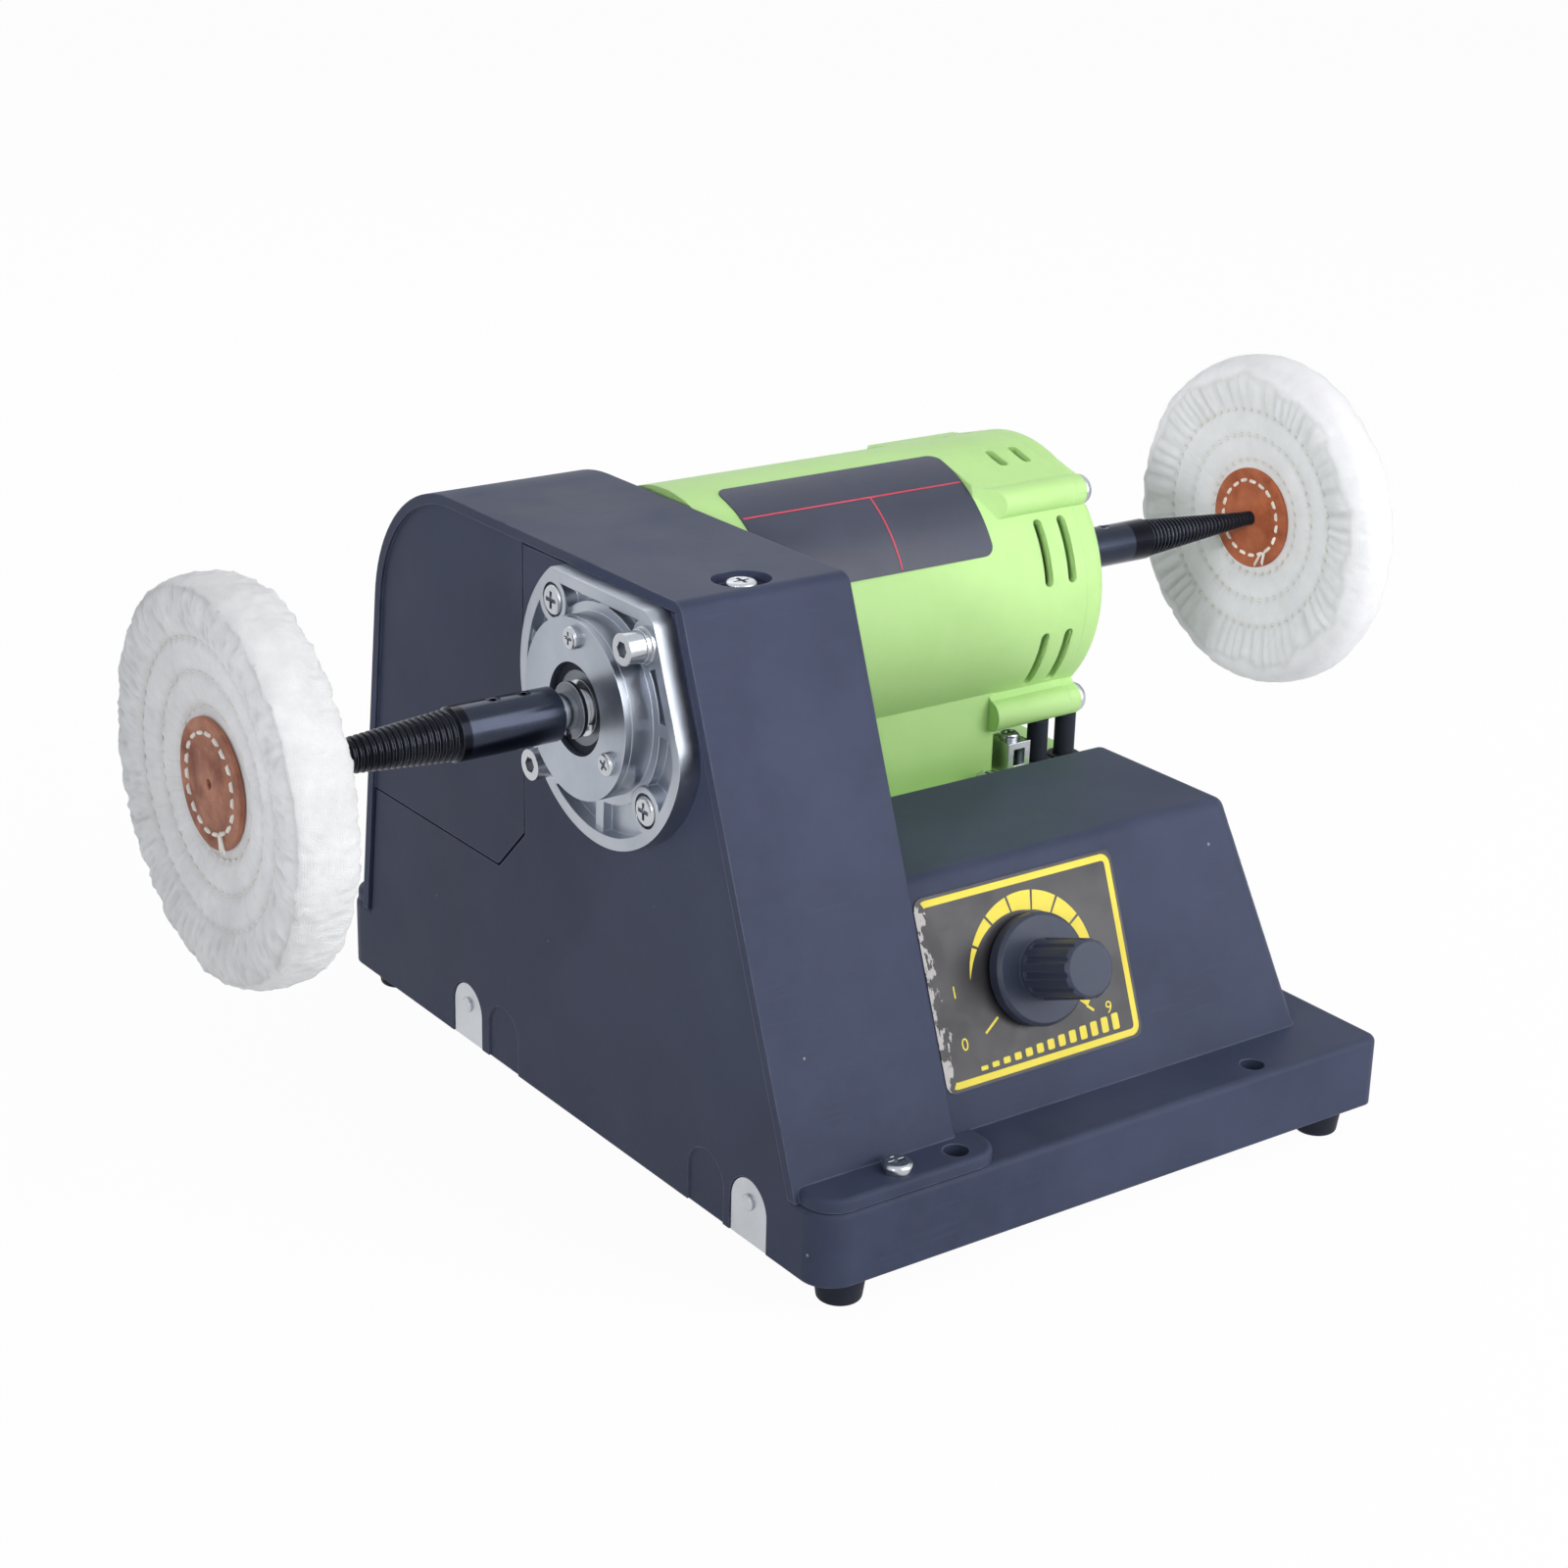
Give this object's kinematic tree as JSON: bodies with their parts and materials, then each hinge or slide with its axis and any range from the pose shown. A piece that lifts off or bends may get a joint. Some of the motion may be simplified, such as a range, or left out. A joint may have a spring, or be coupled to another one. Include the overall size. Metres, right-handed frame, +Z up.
{
  "type": "bench polishing machine",
  "caption": "Small bench polishing machine with a motor, two tapered spindles carrying sewn cotton buffs, a belt hood over a slow spindle and a speed knob on a sloping console.",
  "frame": {"origin": "on the bench under the rubber feet, at the middle of the overall length and of the base's depth", "axes": "+X along the spindles from the left wheel to the right wheel, +Y from the console's front to the back, +Z up"},
  "size_m": [0.4218, 0.252, 0.1897],
  "materials": {
    "black_plastic": "fine matte moulded, dark navy grey",
    "green_shell": "matte lime green",
    "die_cast": "satin die-cast",
    "zinc_steel": "bright zinc plated",
    "black_steel": "blackened, glossy",
    "bearing_steel": "ground",
    "core_steel": "laminated",
    "pulley_metal": "machined",
    "copper": "varnished copper",
    "brush_brass": "bare",
    "carbon": "carbon",
    "rubber": "matte black",
    "cotton": "sewn cotton",
    "leather": "brown",
    "inner_plastic": "matte black",
    "knob_plastic": "black",
    "label_film": "printed film",
    "circuit_board": "green laminate"
  },
  "bodies": {
    "machine": {"base_shell": "black_plastic", "hood": "black_plastic", "motor_housing": "green_shell", "motor_end_cap": "green_shell", "bearing_flange": "die_cast", "bearing_retainer": "die_cast", "bottom_plate": "zinc_steel", "ear_screws": "zinc_steel", "foot_screws": "zinc_steel", "hood_screws": "zinc_steel", "flange_cap_screws": "zinc_steel", "flange_washers": "zinc_steel", "flange_screws": "zinc_steel", "retainer_screws": "zinc_steel", "end_cap_screws": "zinc_steel", "motor_foot_screws": "zinc_steel", "lead_clamp": "zinc_steel", "lead_clamp_screw": "zinc_steel", "board_screws": "zinc_steel", "brush_springs": "zinc_steel", "speed_control_nut": "zinc_steel", "bearing_outer_rings": "bearing_steel", "bearing_balls": "bearing_steel", "stator_core": "core_steel", "heat_sink": "pulley_metal", "field_coils": "copper", "brush_holders": "brush_brass", "carbon_brushes": "carbon", "rubber_feet": "rubber", "lead_grommets": "rubber", "drive_belt": "rubber", "bearing_seals": "rubber", "motor_leads": "rubber", "speed_control": "inner_plastic", "mains_gland": "inner_plastic", "control_label": "label_film", "rating_plate": "label_film", "control_board": "circuit_board"},
    "motor_rotor": {"armature_shaft": "bearing_steel", "armature_core": "core_steel", "armature_windings": "copper", "commutator": "copper", "cooling_fan": "inner_plastic", "motor_pulley": "pulley_metal", "motor_bearing_inner_rings": "bearing_steel", "right_spindle": "black_steel", "right_spindle_screws": "black_steel", "right_buff_wheel": "cotton", "right_hub_leathers": "leather"},
    "output_spindle": {"output_shaft": "bearing_steel", "output_bearing_inner_rings": "bearing_steel", "circlip": "black_steel", "output_pulley": "pulley_metal", "output_pulley_screw": "black_steel", "left_spindle": "black_steel", "left_spindle_screws": "black_steel", "left_buff_wheel": "cotton", "left_hub_leathers": "leather"},
    "knob": {"speed_knob": "knob_plastic", "speed_control_shaft": "bearing_steel"}
  },
  "joints": [
    {"name": "motor_spin", "type": "hinge", "parent": "machine", "child": "motor_rotor", "pos_m": [0.02905, 0.0299, 0.133], "axis": [1, 0, 0], "continuous": true},
    {"name": "output_spin", "type": "hinge", "parent": "machine", "child": "output_spindle", "pos_m": [-0.09095, -0.0304, 0.1397], "axis": [1, 0, 0], "continuous": true},
    {"name": "knob_turn", "type": "hinge", "parent": "machine", "child": "knob", "pos_m": [0.00155, -0.09383, 0.06447], "axis": [0, 0.9342, -0.3568], "range_deg": [0, 300]}
  ],
  "couplings": [
    {"joint": "output_spin", "follows": "motor_spin", "ratio": 0.46709}
  ]
}
